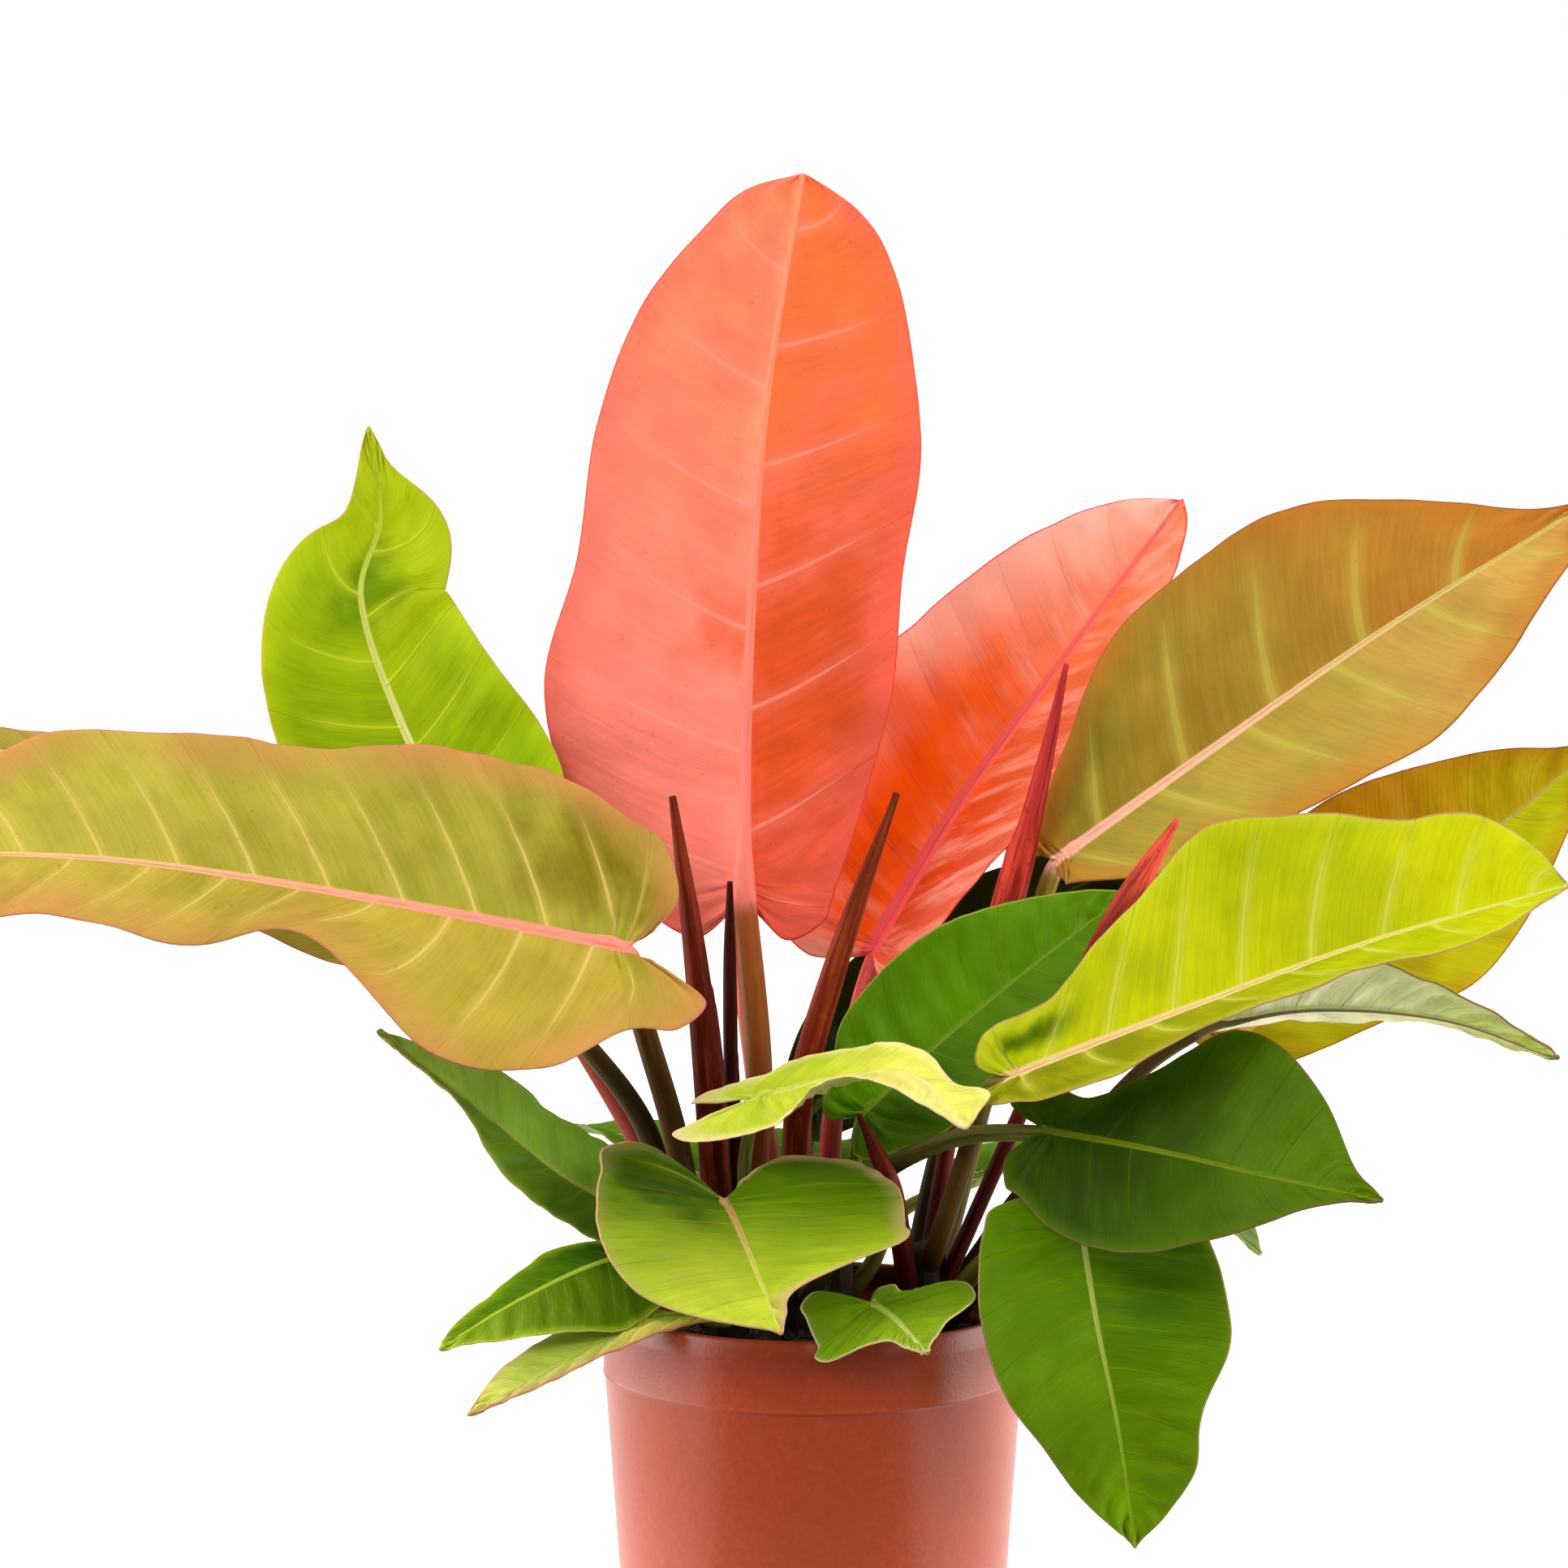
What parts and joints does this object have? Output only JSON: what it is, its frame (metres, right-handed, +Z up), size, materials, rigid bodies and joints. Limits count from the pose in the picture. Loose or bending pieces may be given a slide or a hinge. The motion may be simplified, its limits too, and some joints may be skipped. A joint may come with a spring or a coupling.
{
  "type": "potted foliage plant",
  "caption": "Philodendron with broad orange, bronze, yellow, lime and green leaves and rolled maroon shoots in a plain round terracotta-coloured pot.",
  "frame": {"origin": "centre of the pot's flat base", "axes": "+Z up out of the pot, -Y towards the front of the plant, +X to the right seen from the front"},
  "size_m": [0.6972, 0.3393, 0.6163],
  "materials": {
    "pot_plastic": "satin terracotta-coloured plastic",
    "potting_soil": "matte, crumbly",
    "stem_base": "matte",
    "leaf_orange": "satin, living leaf",
    "leaf_bronze": "satin, living leaf",
    "leaf_yellow": "satin, living leaf",
    "leaf_lime": "satin, living leaf",
    "leaf_green": "glossy, living leaf",
    "leaf_silver": "matte leaf underside",
    "leaf_maroon": "glossy young leaf",
    "leaf_coral": "satin young leaf"
  },
  "bodies": {
    "root": {"pot": "pot_plastic", "soil": "potting_soil", "crown_left": "stem_base", "crown_middle": "stem_base", "crown_right": "stem_base", "crown_back": "stem_base", "leaf_tall_orange": "leaf_orange", "leaf_bright_orange": "leaf_orange", "leaf_back_upright": "leaf_orange", "leaf_bronze_right": "leaf_bronze", "leaf_golden_right": "leaf_yellow", "leaf_mustard_left": "leaf_yellow", "leaf_hidden_left": "leaf_yellow", "leaf_back_right": "leaf_yellow", "leaf_lime_right": "leaf_lime", "leaf_front": "leaf_lime", "leaf_cream": "leaf_lime", "leaf_lowest_left": "leaf_lime", "leaf_lime_left": "leaf_lime", "leaf_green_right": "leaf_green", "leaf_hanging_right": "leaf_green", "leaf_green_left": "leaf_green", "leaf_low_left": "leaf_green", "leaf_green_middle": "leaf_green", "leaf_dark_middle": "leaf_green", "leaf_rim_front": "leaf_green", "leaf_back_left": "leaf_green", "leaf_back_middle": "leaf_green", "leaf_back_low": "leaf_green", "leaf_silver_right": "leaf_silver", "spike_left": "leaf_maroon", "spike_middle": "leaf_maroon", "spike_right": "leaf_maroon", "spike_red": "leaf_coral", "rolled_coral": "leaf_coral", "rolled_red": "leaf_coral"}
  },
  "joints": []
}
